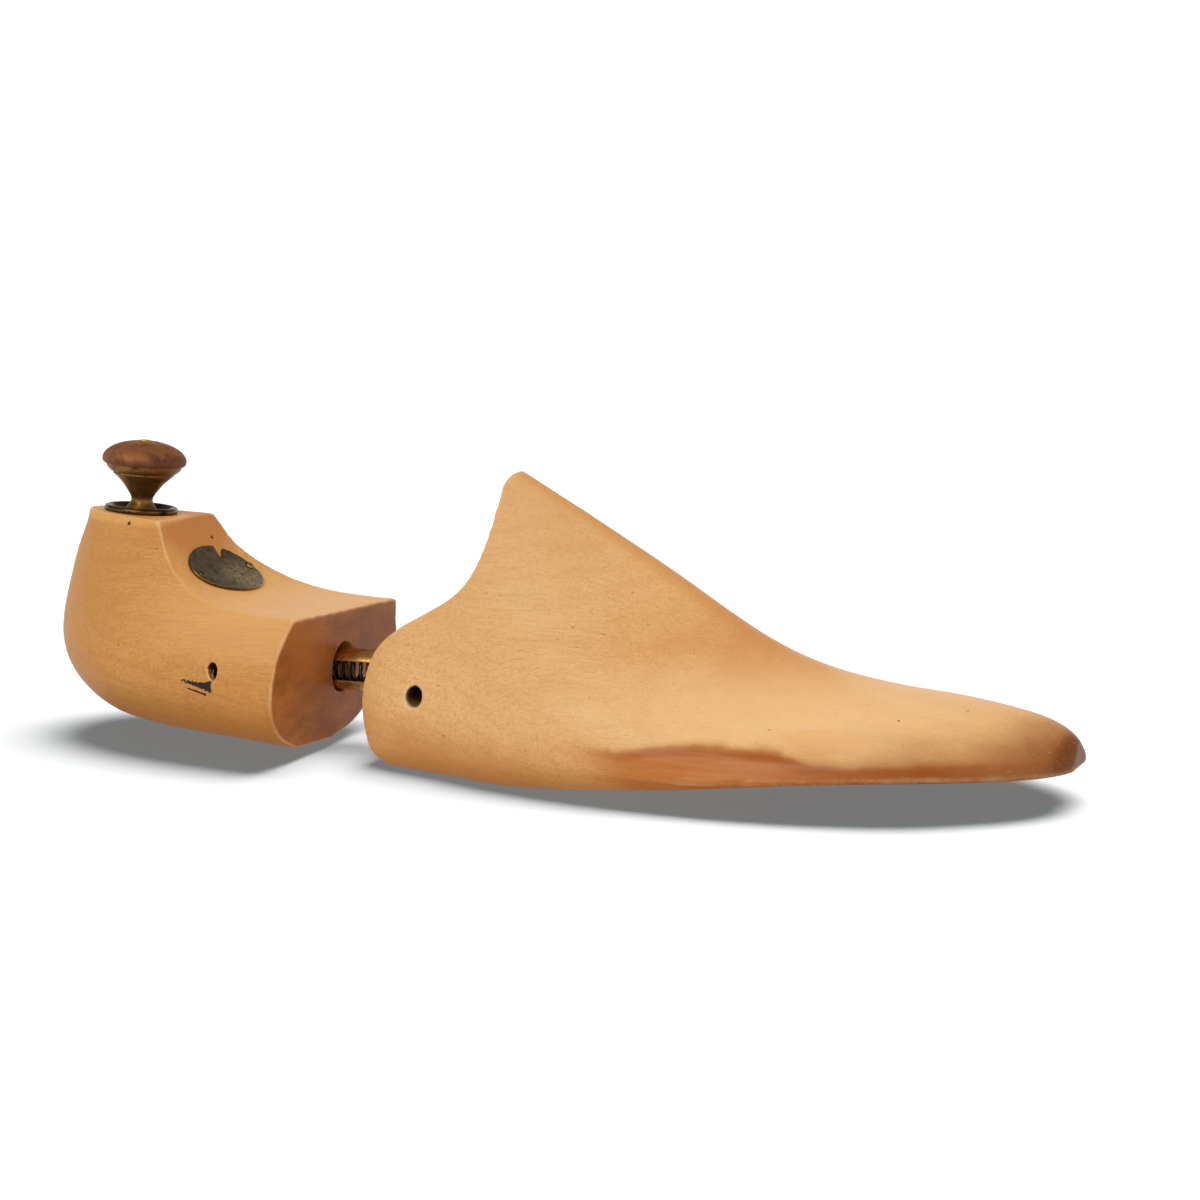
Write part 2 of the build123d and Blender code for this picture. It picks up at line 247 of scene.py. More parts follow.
def beech(look, tones, heart):
    """Varnished old beech with its grain along X: the colour, the fibre height and the flecks."""
    light, honey, orange = tones
    p = look.warped(look.mm, 60.0, 3.0)
    _, y, z = look.split(p)
    # Year rings about the tree's heart, which lies outside the block.
    across = look.math("SUBTRACT", y, heart[0])
    up = look.math("SUBTRACT", z, heart[1])
    radius = look.math("SQRT", look.math("ADD", look.times(across, across), look.times(up, up)))
    drift = look.times(look.noise(p, (90.0, 16.0, 16.0), 2.0), 12.0)
    ring = look.step(look.math("SINE", look.times(look.math("ADD", radius, drift), 1.7)), 0.1, 1.0)
    fibre = look.noise(p, (20.0, 0.7, 0.7), 4.0, 0.6)
    fine = look.noise(look.mm, (7.0, 0.20, 0.20), 3.0, 0.65)
    woven = look.noise(look.warped(look.mm, 8.0, 1.5), (0.45, 0.45, 3.2), 3.0, 0.6)
    tone = look.noise(p, (75.0, 40.0, 32.0), 3.0, 0.5)
    flecks = look.step(look.noise(look.mm, (1.7, 0.30, 0.30), 2.0, 0.5), 0.64, 0.74)
    pores = look.step(look.cells(look.mm, (9.0, 5.0, 5.0)), 0.03, 0.06, 1.0, 0.0)
    colour = look.mix(look.step(tone, 0.33, 0.68), light, honey)
    for mask, tint, amount in ((ring, orange, 0.14),
                               (look.step(fibre, 0.42, 0.72), orange, 0.34),
                               (look.step(woven, 0.42, 0.70), orange, 0.34),
                               (look.step(fine, 0.46, 0.70), RED_BROWN, 0.30),
                               (flecks, RED_BROWN, 0.42),
                               (pores, DARK, 0.55)):
        colour = stain(look, colour, mask, tint, amount)
    return colour, fibre, flecks


def edge_wear_and_shade(look, colour, worn=WORN, amount=0.45, corner_shade_strength=0.6):
    """Edges rubbed pale, and corners painted dark as shade, from the curvature kept on the mesh."""
    node = look.nodes.new("ShaderNodeAttribute")
    node.attribute_name = "edge"
    edge = look.math("SUBTRACT", node.outputs["Fac"], 1.0)
    patchy = look.step(look.noise(look.mm, 6.0, 3.0), 0.28, 0.62, 0.35, 1.0)
    rubbed = look.times(look.step(edge, 0.35, 1.0), patchy)
    colour = stain(look, colour, rubbed, worn, amount)
    # Painted shade: the deeper in a corner, the darker.
    painted_corner_shade = look.step(edge, -0.8, -0.2, 1.0, 0.0)
    return stain(look, colour, painted_corner_shade, DARK, corner_shade_strength)


def stain(look, colour, mask, tint, amount):
    return look.mix(look.times(mask, amount), colour, tint)


def sawn_front(look, x, y):
    """The heel block's front face: how much a point belongs to it, and the colour of its end grain, with a
    painted shadow and a painted highlight on it.
    """
    sawn = look.times(look.step(x, x_in("heel_block", 0.90), x_in("heel_block", 0.93)),
                      look.step(look.facing(GRAIN), 0.45, 0.85))
    streaks = look.noise(look.mm, (8.0, 1.1, 0.5), 4.0, 0.6)
    cloudy = look.noise(look.mm, (8.0, 14.0, 5.0), 2.0)
    colour = look.mix(look.step(cloudy, 0.35, 0.7), srgb(172, 106, 48), srgb(146, 86, 38))
    # A painted shadow of the toe block: beside the bore the face is darker, from a straight line on.
    beside = look.step(y, y_in("heel_block", 0.670), y_in("heel_block", 0.685))
    colour = stain(look, colour, beside, srgb(120, 70, 34), 0.35)
    colour = stain(look, colour, look.step(streaks, 0.45, 0.75), srgb(92, 50, 24), 0.35)
    # Painted highlight: the rim of the bore is lighter.
    bore = look.patch(look.mm, spot_in("slide_tube", 0.6, 0.5, 0.5), (60.0, 7.2, 7.2), 0.2)
    return sawn, stain(look, colour, bore, srgb(190, 130, 84), 0.7)


def ink_smudge(look, y):
    """Three torn strokes of ink below and behind the heel's side hole, on the near side only."""
    ragged = look.warped(look.mm, 0.7, 0.75)
    even = look.warped(look.mm, 1.5, 0.2)
    strokes = ((ragged, (-9.4, -3.0), (-1.6, -3.8), 0.16, 0.8),
               (ragged, (-4.4, -3.9), (0.3, -3.7), 0.45, 1.6),
               (even, (-7.4, -4.9), (-1.4, -6.1), 0.18, 0.32))
    lines = [look.stroke(coordinate, TORN_MOUTH + Vector((start[0], 0, start[1])),
                         TORN_MOUTH + Vector((end[0], 0, end[1])), thin, thick)
             for coordinate, start, end, thin, thick in strokes]
    ink = look.math("MAXIMUM", look.math("MAXIMUM", lines[0], lines[1]), lines[2])
    return look.times(ink, look.step(y, TORN_MOUTH.y + 8.0, TORN_MOUTH.y + 6.0))


def heel_beech():
    look = Look("heel_beech")
    colour, fibre, flecks = beech(look, HEEL_TONES, (90.0, -140.0))
    near = look.warped(look.mm, 14.0, 3.0)
    x, y, _ = look.split(look.mm)
    # The rear is darker, and the lower side is painted darker as shade.
    rear = look.patch(near, spot_in("heel_block", 0.0, 0.45, 0.35), (20.0, 60.0, 60.0), 0.6)
    colour = stain(look, colour, rear, srgb(196, 140, 86), 0.6)
    low = look.patch(near, spot_in("heel_block", 0.6, 0.2, 0.0), (90.0, 60.0, 13.0), 0.6)
    colour = stain(look, colour, low, HEEL_TONES[2], 0.55)
    # The hollow under the plate is painted a deeper orange as shade, and is pale again at its front. So is
    # the flat top.
    hollow = look.patch(near, spot_in("heel_block", 0.42, 0.62, 0.92), (17.0, 17.0, 10.0), 0.35)
    colour = stain(look, colour, hollow, srgb(184, 114, 56), 0.75)
    front = look.patch(near, spot_in("heel_block", 0.85, 0.5, 0.6), (28.0, 50.0, 9.0), 0.6)
    colour = stain(look, colour, front, srgb(226, 172, 112), 0.6)
    top = look.patch(look.mm, spot_in("heel_block", 0.25, 0.5, 1.0), (34.0, 30.0, 2.5), 0.3)
    colour = stain(look, colour, top, srgb(230, 176, 106), 0.5)
    # End grain drinks the varnish: the sawn front face is much darker. The rim of the bore is not, and is
    # painted lighter as a highlight.
    sawn, grain_end = sawn_front(look, x, y)
    colour = stain(look, colour, sawn, grain_end, 0.92)
    # Painted shade inside the side holes.
    inside_near = TORN_MOUTH + Vector((0.5, 2.5, -0.3))
    inside_far = spot_in("heel_pin", 0.5, 1.0, 0.25)
    for centre, radii in ((inside_near, (2.9, 2.2, 3.4)), (inside_far, (2.8, 16.0, 2.8))):
        colour = stain(look, colour, look.patch(look.mm, centre, radii, 0.07), srgb(70, 40, 22), 0.85)
    # Painted shade: each nail hole is a small dark spot in its dent.
    for hole in NAIL_HOLES:
        colour = stain(look, colour, look.patch(look.mm, hole, (0.55,) * 3, 0.3), DARK, 0.9)
    colour = stain(look, colour, ink_smudge(look, y), INK, 0.97)
    colour = edge_wear_and_shade(look, colour)
    look.bump([(fibre, 0.05, 0.45), (flecks, -0.03, 0.5)])
    rough = look.step(look.noise(look.mm, 9.0), 0.3, 0.7, 0.50, 0.62)
    return look.finish(colour, rough, Coat_Weight=0.16, Coat_Roughness=0.2, Specular_IOR_Level=0.1)


def long_stain(look, colour, x, y, z):
    """The orange stain low on the toe's near side, under a wandering tide line with one low crest."""
    crest = x_in("toe_block", 0.59)
    wave = look.step(look.math("ABSOLUTE", look.math("SUBTRACT", x, crest)), 0.0, 30.0, 3.0, 0.0)
    wander = look.times(look.noise(look.mm, (17.0, 60.0, 60.0), 3.0, 0.5), 5.0)
    line = look.math("ADD", look.math("ADD", wave, wander), z_in("toe_block", 0.155))
    below = look.math("SUBTRACT", line, z)
    begins = look.step(x, x_in("toe_block", 0.34), x_in("toe_block", 0.48))
    thins = look.step(x, x_in("toe_block", 0.84), x_in("toe_block", 0.97), 1.0, 0.25)
    reach = look.times(begins, thins, look.step(y, -10.0, -24.0))
    streaks = look.step(look.noise(look.mm, (18.0, 3.0, 1.6), 3.0, 0.6), 0.3, 0.65, 0.82, 1.0)
    inside = look.times(look.step(below, -1.8, 1.6), streaks, reach)
    fade = look.step(below, 1.0, 11.0, 1.0, 0.75)
    colour = stain(look, colour, look.times(inside, fade), srgb(180, 100, 30), 0.97)
    above = look.warped(look.mm, 9.0, 3.0)
    glow = look.patch(above, spot_in("toe_block", 0.70, 0.09, 0.25), (10, 14, 3.0), 0.3)
    colour = stain(look, colour, glow, srgb(226, 156, 84), 0.25)
    tide = look.times(look.step(below, -0.7, 0.5), look.step(below, 0.6, 3.4, 1.0, 0.0), reach, streaks)
    return stain(look, colour, tide, srgb(140, 68, 18), 0.5)


def toe_beech():
    look = Look("toe_beech")
    colour, fibre, flecks = beech(look, TOE_TONES, (70.0, -120.0))
    near = look.warped(look.mm, 9.0, 3.5)
    x, y, z = look.split(look.mm)
    # Up along the instep a band beside the ridge, where the surface faces up, is painted a warm darker orange
    # as shade. The ridge's crown is paler, a painted highlight.
    high = look.step(z, z_in("toe_block", 0.22), z_in("toe_block", 0.45))
    beside = look.times(look.step(look.facing(UP), 0.64, 0.90), high)
    colour = stain(look, colour, beside, srgb(192, 122, 58), 0.66)
    # Painted shade towards the rear, where the side curves round.
    rear = look.patch(near, spot_in("toe_block", 0.16, 0.2, 0.85), (42.0, 60.0, 30.0), 0.6)
    colour = stain(look, colour, rear, srgb(206, 156, 100), 0.45)
    # Painted highlight: a pale band along the middle of the near side.
    pale = look.patch(near, spot_in("toe_block", 0.66, 0.1, 0.31), (52.0, 40.0, 9.0), 0.8)
    colour = stain(look, colour, pale, srgb(244, 204, 154), 0.5)
    # Painted highlight along the crown of the ridge.
    crown = look.times(look.step(look.facing(UP), 0.95, 0.995), high)
    colour = stain(look, colour, crown, srgb(248, 216, 174), 0.35)
    # Painted shade low at the rear, where the side turns under.
    low = look.patch(near, spot_in("toe_block", 0.15, 0.1, 0.0), (40.0, 60.0, 11.0), 0.6)
    colour = stain(look, colour, low, srgb(190, 126, 64), 0.7)
    colour = long_stain(look, colour, x, y, z)
    # Further forward the lower side is painted brown as shade, where it turns under.
    brown = look.patch(look.warped(look.mm, 14.0, 3.0), spot_in("toe_block", 0.86, 0.3, 0.07),
                       (50, 42, 11.5), 0.55)
    colour = stain(look, colour, brown, srgb(146, 78, 28), 0.88)
    # Painted shade inside the side holes.
    hole = look.patch(look.mm, spot_in("pivot_pin", 0.5, 0.5, 0.5), (2.8, 200.0, 2.8), 0.07)
    colour = stain(look, colour, hole, srgb(84, 50, 28), 0.85)
    # The tip is knocked dark and painted darker still as shade, darkest on its very end, and is crossed by a
    # few pale scratches.
    tip = look.patch(look.warped(look.mm, 6.0, 2.5), spot_in("toe_block", 1.0, 0.40, 0.12), (19, 34, 13), 0.6)
    colour = stain(look, colour, tip, srgb(146, 86, 40), 0.9)
    # Painted shade on the end of the tip.
    end = look.patch(look.mm, spot_in("toe_block", 1.0, 0.45, 0.14), (4.0, 26.0, 12.0), 0.4)
    colour = stain(look, colour, end, srgb(110, 56, 22), 0.8)
    scuffs = look.step(look.noise(look.mm, (1.2, 2.0, 0.35), 4.0, 0.65), 0.60, 0.70)
    colour = stain(look, colour, look.times(tip, scuffs), srgb(222, 178, 130), 0.4)
    # Four dark specks.
    for at in ((0.180, 0.235, 0.437), (0.780, 0.292, 0.291), (0.624, 0.149, 0.263), (0.855, 0.427, 0.306)):
        knot = look.patch(look.mm, spot_in("toe_block", *at), (0.4,) * 3, 0.3)
        colour = stain(look, colour, knot, DARK, 0.6)
    colour = edge_wear_and_shade(look, colour, amount=0.3)
    look.bump([(fibre, 0.05, 0.35), (flecks, -0.03, 0.4)])
    rough = look.step(look.noise(look.mm, 9.0), 0.3, 0.7, 0.46, 0.58)
    return look.finish(colour, rough, Coat_Weight=0.15, Coat_Roughness=0.22, Specular_IOR_Level=0.1)


def plain_wood(name, tint=RED_BROWN):
    look = Look(name)
    colour, fibre, _ = beech(look, HEEL_TONES, (60.0, -50.0))
    look.bump([(fibre, 0.06, 0.6)])
    return look.finish(look.mix(0.6, colour, tint), 0.7)


def metal(name, bright, mid, dark, rough=(0.30, 0.5), worn=0.6, metallic=1.0, extra=None):
    """Old metal: mottled patina, rubbed edges, painted shade in the corners and fine scratches."""
    look = Look(name)
    blotch = look.noise(look.warped(look.mm, 6.0, 1.5), 3.0, 5.0, 0.62)
    speck = look.noise(look.mm, 0.42, 3.0, 0.6)
    colour = look.mix(look.step(blotch, 0.47, 0.71), mid, dark)
    colour = stain(look, colour, look.step(speck, 0.56, 0.74), dark, 0.45)
    if extra:
        colour = extra(look, colour)
    colour = edge_wear_and_shade(look, colour, bright, worn, 0.8)
    lines = look.noise(look.mm, (5.0, 0.10, 0.4), 2.0, 0.6)
    look.bump([(lines, 0.02, 0.3), (speck, 0.03, 0.35)])
    return look.finish(colour, look.step(blotch, 0.35, 0.7, *rough), metallic)


def gold_patches_and_under_shade(look, colour):
    """The copper cap is rubbed through to golden brass round its middle, and painted darker below its edge as
    shade.
    """
    patch = look.patch(look.warped(look.mm, 2.0, 1.6), spot_in("knob_cap", 0.5, 0.5, 1.0), (5.2,) * 3, 0.5)
    speckle = look.step(look.noise(look.mm, 0.7, 3.0), 0.42, 0.58)
    colour = stain(look, colour, look.times(patch, speckle), srgb(168, 132, 66), 0.8)
    # Painted shade under the cap's edge.
    rim = look.step(look.split(look.mm)[2], z_in("knob_cap", 0.62), z_in("knob_cap", 0.30))
    return stain(look, colour, rim, srgb(84, 50, 32), 0.7)


def scoured_sheen_corner(look, colour):
    """The plate's front far side is scoured, and painted bright as a sheen."""
    corner = look.patch(look.warped(look.mm, 3.0, 1.4), spot_in("oval_plate", 0.80, 0.70, 0.5),
                        (7.0, 11.0, 9.0), 0.35)
    scour = look.step(look.noise(look.mm, (1.3, 0.40, 0.5), 4.0, 0.65), 0.42, 0.62)
    return stain(look, colour, look.times(corner, scour), srgb(214, 188, 134), 0.95)


# ---------------------------------------------------------------- pieces

def applied(source, name, modifiers, before=None):
    """A new object with the source's mesh after a change to it and the given modifiers."""
    work = bpy.data.objects.new(name, source.data.copy())
    if before:
        before(work.data)
    scene.collection.objects.link(work)
    work.matrix_world = source.matrix_world.copy()
    for number, (kind, settings) in enumerate(modifiers):
        modifier = work.modifiers.new(kind + str(number), kind)
        for key, value in settings.items():
            setattr(modifier, key, value)
    bpy.context.view_layer.update()
    mesh = bpy.data.meshes.new_from_object(work.evaluated_get(bpy.context.evaluated_depsgraph_get()))
    work.modifiers.clear()
    work.data = mesh
    work.data.materials.clear()
    return work


def coordinates(mesh):
    points = np.empty(len(mesh.vertices) * 3)
    mesh.vertices.foreach_get("co", points)
    return points.reshape(-1, 3)


def normals(mesh):
    vectors = np.empty(len(mesh.vertices) * 3)
    mesh.vertices.foreach_get("normal", vectors)
    return vectors.reshape(-1, 3)


def mark_edges(mesh, reach, full):
    """Store how far each vertex stands out from its neighbours, reach rounds of smoothing away.

    It is 1 on the flat, 2 where it stands out by full millimetres or more, and 0 as deep in a corner.
    """
    points = coordinates(mesh)
    ends = np.empty(len(mesh.edges) * 2, dtype=np.int64)
    mesh.edges.foreach_get("vertices", ends)
    first, second = ends.reshape(-1, 2).T
    count = np.bincount(ends, minlength=len(points))[:, None]
    smooth = points.copy()
    for _ in range(reach):
        total = np.zeros_like(smooth)
        for axis in range(3):
            total[:, axis] = (np.bincount(first, smooth[second, axis], len(points))
                              + np.bincount(second, smooth[first, axis], len(points)))
        smooth = 0.5 * smooth + 0.5 * total / count
    out = np.einsum("ij,ij->i", points - smooth, normals(mesh)) / (full * MM)
    layer = mesh.attributes.new("edge", "FLOAT", "POINT")
    layer.data.foreach_set("value", 1 + np.clip(out, -1, 1))


BODIES = {
    "heel": ("heel_block", "heel_pin", "knob_ring", "knob_stem", "knob_cap", "knob_spindle", "oval_plate",
             "plate_pin_near", "plate_pin_far"),
    "tube": ("slide_tube", "tube_plug", "spring"),
    "toe": ("toe_block", "pivot_pin"),
}


def body_of(node):
    return next(body for body, nodes in BODIES.items() if node in nodes)


def stopped_hole(mesh):
    """Fill the mouth of the heel's near side hole level with the wood round it."""
    tree = BVHTree.FromPolygons([v.co for v in mesh.vertices], [p.vertices for p in mesh.polygons])
    middle = Vector(spot_in("heel_block", 0.751, 0.0, 0.367)) * MM
    count, radius, outside, sunk, depth = 24, 3.1, 10, 0.02, 4.0
    builder = bmesh.new()
    builder.from_mesh(mesh)
    front, rear = [], []
    for i in range(count):
        angle = 2 * math.pi * i / count
        start = middle + Vector((radius * math.cos(angle), -outside, radius * math.sin(angle))) * MM
        hit = tree.ray_cast(start, Vector((0, 1, 0)))[0]
        front.append(builder.verts.new(hit + Vector((0, sunk, 0)) * MM))
        rear.append(builder.verts.new(hit + Vector((0, depth, 0)) * MM))
    for i in range(count):
        j = (i + 1) % count
        builder.faces.new((front[i], front[j], rear[j], rear[i]))
    builder.faces.new(front[::-1])
    builder.faces.new(rear)
    builder.to_mesh(mesh)
    builder.free()


def torn_cutter():
    """A prism that cuts the ragged mouth that wear has opened, a little above the drilled hole."""
    outline = ((1.7, 0.3), (1.3, 1.6), (0.5, 2.2), (-1.5, 2.1), (-0.9, 1.4), (-1.7, 0.9), (-0.8, 0.3),
               (-1.5, -0.4), (-0.6, -0.8), (-0.4, -1.8), (0.6, -2.3), (1.4, -1.2))
    points = [(TORN_MOUTH + Vector((x, depth, z))) * MM for depth in (-4, 5) for x, z in outline]
    count = len(outline)
    faces = [tuple(range(count)), tuple(range(2 * count - 1, count - 1, -1))]
    faces += [(i, i + count, (i + 1) % count + count, (i + 1) % count) for i in range(count)]
    mesh = bpy.data.meshes.new("torn_cutter")
    mesh.from_pydata(points, [], faces)
    cutter = bpy.data.objects.new("torn_cutter", mesh)
    scene.collection.objects.link(cutter)
    builder = bmesh.new()
    builder.from_mesh(mesh)
    bmesh.ops.recalc_face_normals(builder, faces=builder.faces)
    builder.to_mesh(mesh)
    builder.free()
    return cutter


def aged(node, material, voxel, soften=3, hand=0.0, wave=23.0, swells=(), edge=0.2, reach=12,
         before=None, cutter=None):
    """A CAD node's shape as a fine mesh: softened edges, slightly uneven faces, swells and dents.

    voxel, hand, wave, edge and the swells are in millimetres. hand is the unevenness, wave its length.
    """
    remesh = ("REMESH", {"mode": "VOXEL", "voxel_size": voxel * MM, "use_smooth_shade": True})
    steps = [remesh, ("SMOOTH", {"factor": 0.5, "iterations": soften})]
    if cutter:
        cut = ("BOOLEAN", {"operation": "DIFFERENCE", "object": cutter, "solver": "EXACT"})
        steps = [remesh, cut] + steps
    piece = applied(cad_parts[node], node + "_aged", steps, before)
    if cutter:
        bpy.data.objects.remove(cutter)
    mesh = piece.data
    points = coordinates(mesh)
    outward = normals(mesh)
    push = np.zeros(len(points))
    if hand:
        for i, point in enumerate(points):
            at = Vector(point) / MM
            push[i] = hand * (noise.noise(at / wave) + 0.35 * noise.noise(at * 3 / wave))
    for centre, radii, rise in swells:
        away = np.linalg.norm((points / MM - np.array(centre)) / np.array(radii), axis=1)
        push += rise * np.clip(1 - away ** 2, 0, 1) ** 2
    points += outward * (push * MM)[:, None]
    mesh.vertices.foreach_set("co", points.ravel())
    mesh.update()
    mark_edges(mesh, reach, edge)
    mesh.materials.append(material)
    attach(piece, body_of(node))
    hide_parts(node)


def splinters(material):
    """Torn fibres across the rear and lower side of the heel's near side hole."""
    mouth = TORN_MOUTH
    builder = bmesh.new()
    rng = np.random.default_rng(7)
    count, rings = 9, 7
    for i in range(count):
        share = i / (count - 1)
        foot = mouth + Vector((-1.7 + 1.9 * share, 0.8 + 0.9 * rng.random(), -1.6 - 0.7 * share))
        height = 3.0 - 2.3 * share + 0.6 * rng.random()
        width = 0.26 + 0.1 * rng.random()
        lean = 0.5 * (rng.random() - 0.5)
        rows = []
        for j in range(rings):
            t = j / (rings - 1)
            half = width * (1 - t) ** 0.6 + 0.02
            centre = foot + Vector((lean * t + 0.12 * math.sin(5 * t + i), 0.5 * t * t, height * t))
            corners = ((-half, 0, 0), (0, -0.55 * half, 0), (half, 0, 0), (0, 0.9 * half, 0))
            rows.append([builder.verts.new((centre + Vector(corner)) * MM) for corner in corners])
        for below, above in zip(rows, rows[1:]):
            for k in range(4):
                builder.faces.new((below[k], below[(k + 1) % 4], above[(k + 1) % 4], above[k]))
        builder.faces.new(rows[0][::-1])
        builder.faces.new(rows[-1])
    bmesh.ops.recalc_face_normals(builder, faces=builder.faces)
    mesh = bpy.data.meshes.new("heel_splinters")
    builder.to_mesh(mesh)
    builder.free()
    mesh.materials.append(material)
    piece = bpy.data.objects.new("heel_splinters", mesh)
    scene.collection.objects.link(piece)
    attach(piece, "heel")


def coil(material):
    """The spring as one wire, with its end turns closed up."""
    low, high = (Vector(corner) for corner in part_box("spring"))
    wire = 0.5 * MM
    turns, per_turn, ring = 19.5, 36, 12
    radius = (high.z - low.z) / 2 - wire
    middle = (low + high) / 2
    count = int(turns * per_turn) + 1
    closed, closed_rise = 1.2 * per_turn, 0.52
    rise = [closed_rise if i < closed or i >= count - 1 - closed else 1.0 for i in range(count - 1)]
    scale = (high.x - low.x - 2 * wire) / sum(rise)
    path = [Vector((low.x + wire, 0, 0))]
    for step_size in rise:
        path.append(path[-1] + Vector((step_size * scale, 0, 0)))
    mesh_builder = bmesh.new()
    loops = []
    for i, along in enumerate(path):
        angle = 2 * math.pi * i / per_turn
        outward = Vector((0, math.cos(angle), math.sin(angle)))
        centre = Vector((along.x, middle.y, middle.z)) + outward * radius
        loop = []
        for j in range(ring):
            turn = 2 * math.pi * j / ring
            offset = outward * math.cos(turn) * wire + Vector((math.sin(turn) * wire, 0, 0))
            loop.append(mesh_builder.verts.new(centre + offset))
        loops.append(loop)
    for first, second in zip(loops, loops[1:]):
        for j in range(ring):
            k = (j + 1) % ring
            mesh_builder.faces.new((first[j], first[k], second[k], second[j]))
    mesh_builder.faces.new(loops[0][::-1])
    mesh_builder.faces.new(loops[-1])
    bmesh.ops.recalc_face_normals(mesh_builder, faces=mesh_builder.faces)
    mesh = bpy.data.meshes.new("spring_coil")
    mesh_builder.to_mesh(mesh)
    mesh_builder.free()
    for face in mesh.polygons:
        face.use_smooth = True
    mesh.materials.append(material)
    piece = bpy.data.objects.new("spring_coil", mesh)
    scene.collection.objects.link(piece)
    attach(piece, "tube")
    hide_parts("spring")
    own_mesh(piece)


def dress(node, material):
    """Give a CAD node its finish."""
    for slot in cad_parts[node].material_slots:
        slot.link = "OBJECT"
        slot.material = material


nail_dents = [(hole, (0.9,) * 3, -0.5) for hole in NAIL_HOLES]
aged("heel_block", heel_beech(), 0.43, 9, hand=0.10, edge=0.16, reach=8, before=stopped_hole,
     cutter=torn_cutter(), swells=nail_dents)
# Each swell or hollow of the toe is given once, as shares of its box, and made on both sides.
toe_swells = []
for side in (0, 1):
    for along, inset, height, radii, rise in ((0.50, 0.16, 0.32, (18, 24, 17), -1.2),
                                              (0.76, 0.12, 0.23, (48, 16, 8), 0.8),
                                              (0.76, 0.08, 0.06, (58, 20, 8), -1.6)):
        toe_swells.append((spot_in("toe_block", along, abs(side - inset), height), radii, rise))
aged("toe_block", toe_beech(), 0.52, 7, hand=0.12, swells=toe_swells)
splinters(plain_wood("torn_beech", srgb(58, 32, 17)))
coil(metal("spring_steel", srgb(226, 208, 160), srgb(170, 146, 100), srgb(70, 52, 32), rough=(0.25, 0.4)))

brass = metal("tube_brass", srgb(250, 214, 140), srgb(212, 164, 92), srgb(120, 80, 42),
              rough=(0.24, 0.42), worn=0.7)
aged("slide_tube", brass, 0.28, 1, edge=0.12, reach=6)
dress("tube_plug", plain_wood("plug_beech"))
steel = metal("pin_steel", srgb(190, 180, 165), srgb(120, 108, 92), srgb(50, 40, 30))
dress("heel_pin", steel)
dress("pivot_pin", steel)

ring_bronze = metal("ring_bronze", srgb(196, 148, 84), srgb(92, 65, 38), srgb(40, 27, 16), rough=(0.24, 0.42))
aged("knob_ring", ring_bronze, 0.16, 1, 0.02, 4.0, edge=0.10, reach=8)
stem_brass = metal("stem_brass", srgb(180, 136, 72), srgb(124, 90, 46), srgb(70, 48, 24), rough=(0.45, 0.6))
aged("knob_stem", stem_brass, 0.16, 1, 0.02, 4.0, edge=0.10, reach=8)
cap_copper = metal("cap_copper", srgb(176, 118, 72), srgb(150, 94, 56), srgb(104, 62, 38),
                   rough=(0.6, 0.75), metallic=0.7, extra=gold_patches_and_under_shade)
aged("knob_cap", cap_copper, 0.16, 1, 0.04, 5.0, edge=0.12, reach=8)
spindle_brass = metal("spindle_brass", srgb(250, 214, 130), srgb(206, 156, 76), srgb(80, 50, 22))
aged("knob_spindle", spindle_brass, 0.12, 1, edge=0.06, reach=6)
bronze = metal("plate_bronze", srgb(206, 176, 112), srgb(102, 80, 40), srgb(60, 46, 23),
               rough=(0.36, 0.55), worn=0.8, extra=scoured_sheen_corner)
aged("oval_plate", bronze, 0.16, 1, 0.03, 4.0, edge=0.08, reach=6)
for pin in ("plate_pin_near", "plate_pin_far"):
    aged(pin, bronze, 0.10, 1, edge=0.08, reach=6)


# ---------------------------------------------------------------- studio

def camera():
    """Nearly side on from the toe's side, a little above."""
    yaw, pitch, distance = math.radians(21.5), math.radians(10), 0.868
    target = Vector((0.0139, 0, 0.043))
    away = Vector((math.sin(yaw) * math.cos(pitch), -math.cos(yaw) * math.cos(pitch), math.sin(pitch)))
    data = bpy.data.cameras.new("camera")
    data.lens = 102
    data.sensor_width = 36
    data.clip_start = 0.01
    piece = bpy.data.objects.new("camera", data)
    scene.collection.objects.link(piece)
    piece.location = target + away * distance
    piece.rotation_euler = (-away).to_track_quat("-Z", "Y").to_euler()
    scene.camera = piece


def softbox(name, place, aim, size, power, colour=(1, 1, 1)):
    data = bpy.data.lights.new(name, "AREA")
    data.shape = "RECTANGLE"
    data.size, data.size_y = size
    data.energy = power
    data.color = colour
    piece = bpy.data.objects.new(name, data)
    scene.collection.objects.link(piece)
    piece.location = place
    piece.rotation_euler = (Vector(aim) - Vector(place)).to_track_quat("-Z", "Y").to_euler()
    return piece


def backdrop(name, height, glow, tint):
    """A white disc to stand on, or the white wall round it. It shows and mirrors, but lights nothing."""
    count = 96
    angles = [2 * math.pi * i / count for i in range(count)]
    points = [(ROOM_RADIUS * math.cos(angle), ROOM_RADIUS * math.sin(angle), FLOOR_LEVEL) for angle in angles]
    faces = [tuple(range(count))]
    if height:
        points += [(x, y, z + height) for x, y, z in points]
        faces = [(i, (i + 1) % count, (i + 1) % count + count, i + count) for i in range(count)]
    mesh = bpy.data.meshes.new(name)
    mesh.from_pydata(points, [], faces)
    piece = bpy.data.objects.new(name, mesh)
    scene.collection.objects.link(piece)
    piece.visible_diffuse = False
    piece.visible_shadow = not height
    look = Look(name)
    # A dull surface under a strong lamp of its own, so that the wood's colour doesn't tint its shadows.
    faint = look.step(look.noise(look.mm, 60.0, 2.0), 0.3, 0.7, 0.95, 1.0)
    dull = look.mix(1.0, look.grey(faint), (0.122, 0.121, 0.122, 1.0), "MULTIPLY")
    look.finish(dull, 0.9, Specular_IOR_Level=0.0, Emission_Color=tint, Emission_Strength=glow)
    mesh.materials.append(look.material)
    return piece


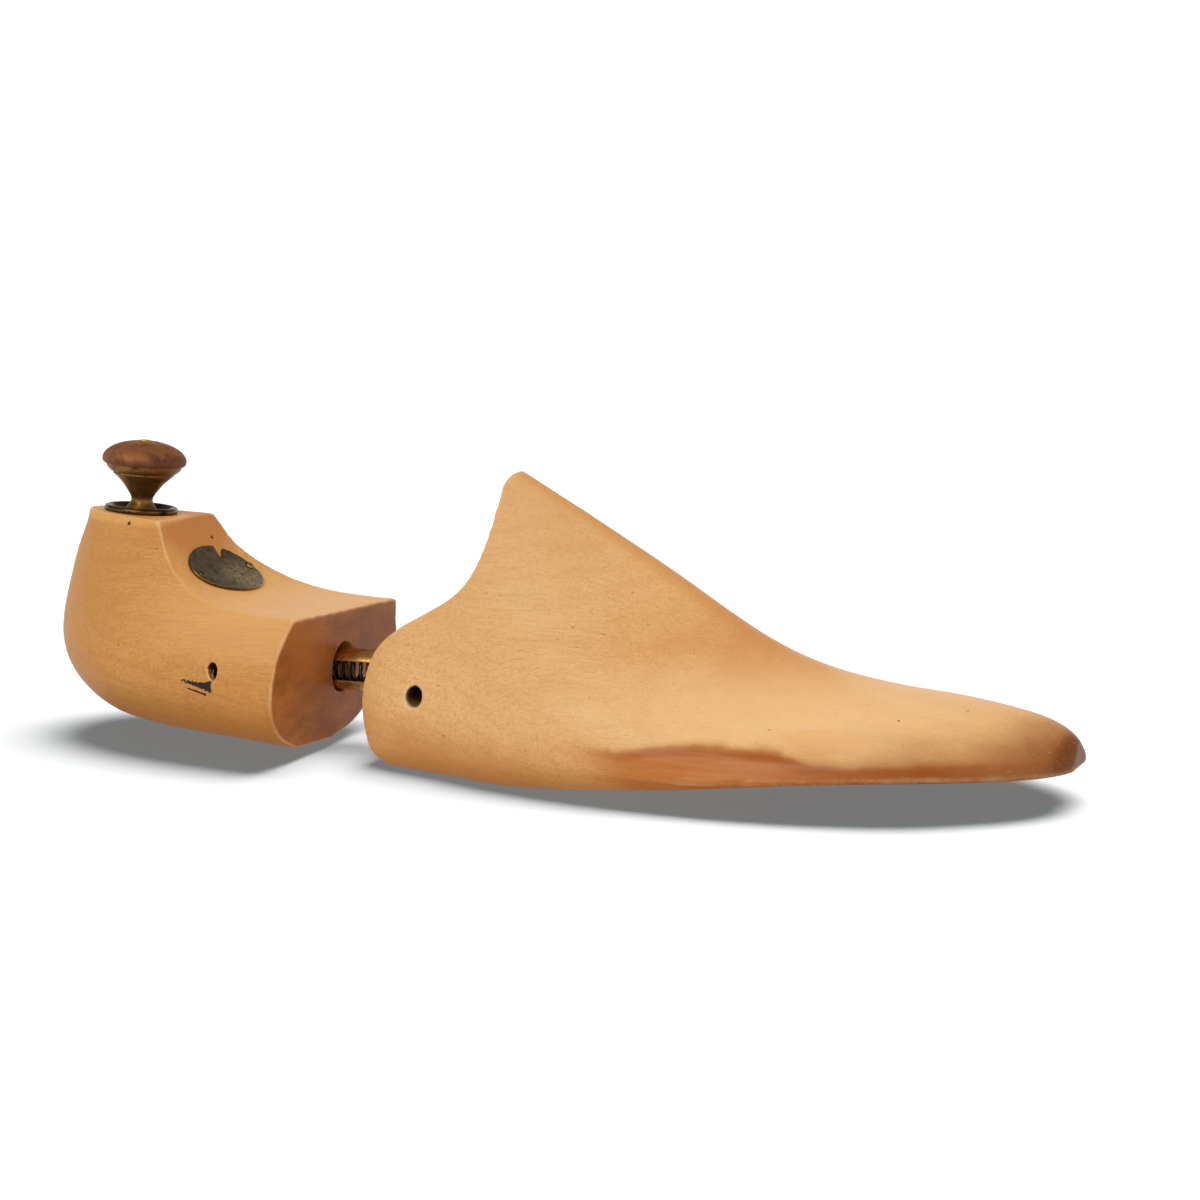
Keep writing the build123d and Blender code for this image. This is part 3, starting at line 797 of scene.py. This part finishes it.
def room_light():
    """A dim room as the world: warm light from below, as if off the bench, and neutral from above."""
    world = bpy.data.worlds.new("studio")
    scene.world = world
    world.use_nodes = True
    nodes, links = world.node_tree.nodes, world.node_tree.links
    parts = nodes.new("ShaderNodeSeparateXYZ")
    links.new(nodes.new("ShaderNodeTexCoord").outputs["Generated"], parts.inputs[0])
    level = nodes.new("ShaderNodeMapRange")
    links.new(parts.outputs["Z"], level.inputs[0])
    for socket, number in zip(level.inputs[1:5], (-0.6, 0.5, 0.0, 1.0)):
        socket.default_value = number
    blend = nodes.new("ShaderNodeMix")
    blend.data_type = "RGBA"
    links.new(level.outputs[0], blend.inputs[0])
    blend.inputs[6].default_value = (0.76, 0.60, 0.42, 1)
    blend.inputs[7].default_value = (0.27, 0.265, 0.25, 1)
    links.new(blend.outputs[2], nodes["Background"].inputs["Color"])


def studio():
    """A soft key from the heel's side, a warm rim behind, a warm fill by the toe, and the floor's own sun."""
    floor = backdrop("floor", 0, 0.172, (0.88, 0.97, 1, 1))
    backdrop("wall", WALL_HEIGHT, 1.05, (1, 1, 1, 1))
    room_light()

    middle = (0, 0, 0.03)
    key = softbox("key", (-0.25, -1.05, 1.0), middle, (1.1, 1.1), 15)
    rim = softbox("rim", (0.25, 1.0, 1.1), middle, (1.4, 0.5), 12, (1.0, 0.95, 0.85))
    fill = softbox("fill", (1.1, -0.35, 0.5), (-0.05, 0, 0.03), (0.8, 0.8), 2.6, (1.0, 0.88, 0.70))
    rim.visible_glossy = False
    sun = bpy.data.objects.new("floor_sun", bpy.data.lights.new("floor_sun", "SUN"))
    scene.collection.objects.link(sun)
    sun.data.energy = 27.0
    sun.data.angle = math.radians(50)
    sun.rotation_euler = Vector((-0.1, -0.35, -1)).to_track_quat("-Z", "Y").to_euler()

    # The sun lights the floor alone, and the other lamps everything but the floor.
    only_floor = bpy.data.collections.new("floor_light")
    only_floor.objects.link(floor)
    sun.light_linking.receiver_collection = only_floor
    no_floor = bpy.data.collections.new("key_light")
    no_floor.objects.link(floor)
    no_floor.collection_objects[0].light_linking.link_state = "EXCLUDE"
    for light in (key, rim, fill):
        light.light_linking.receiver_collection = no_floor


camera()
studio()
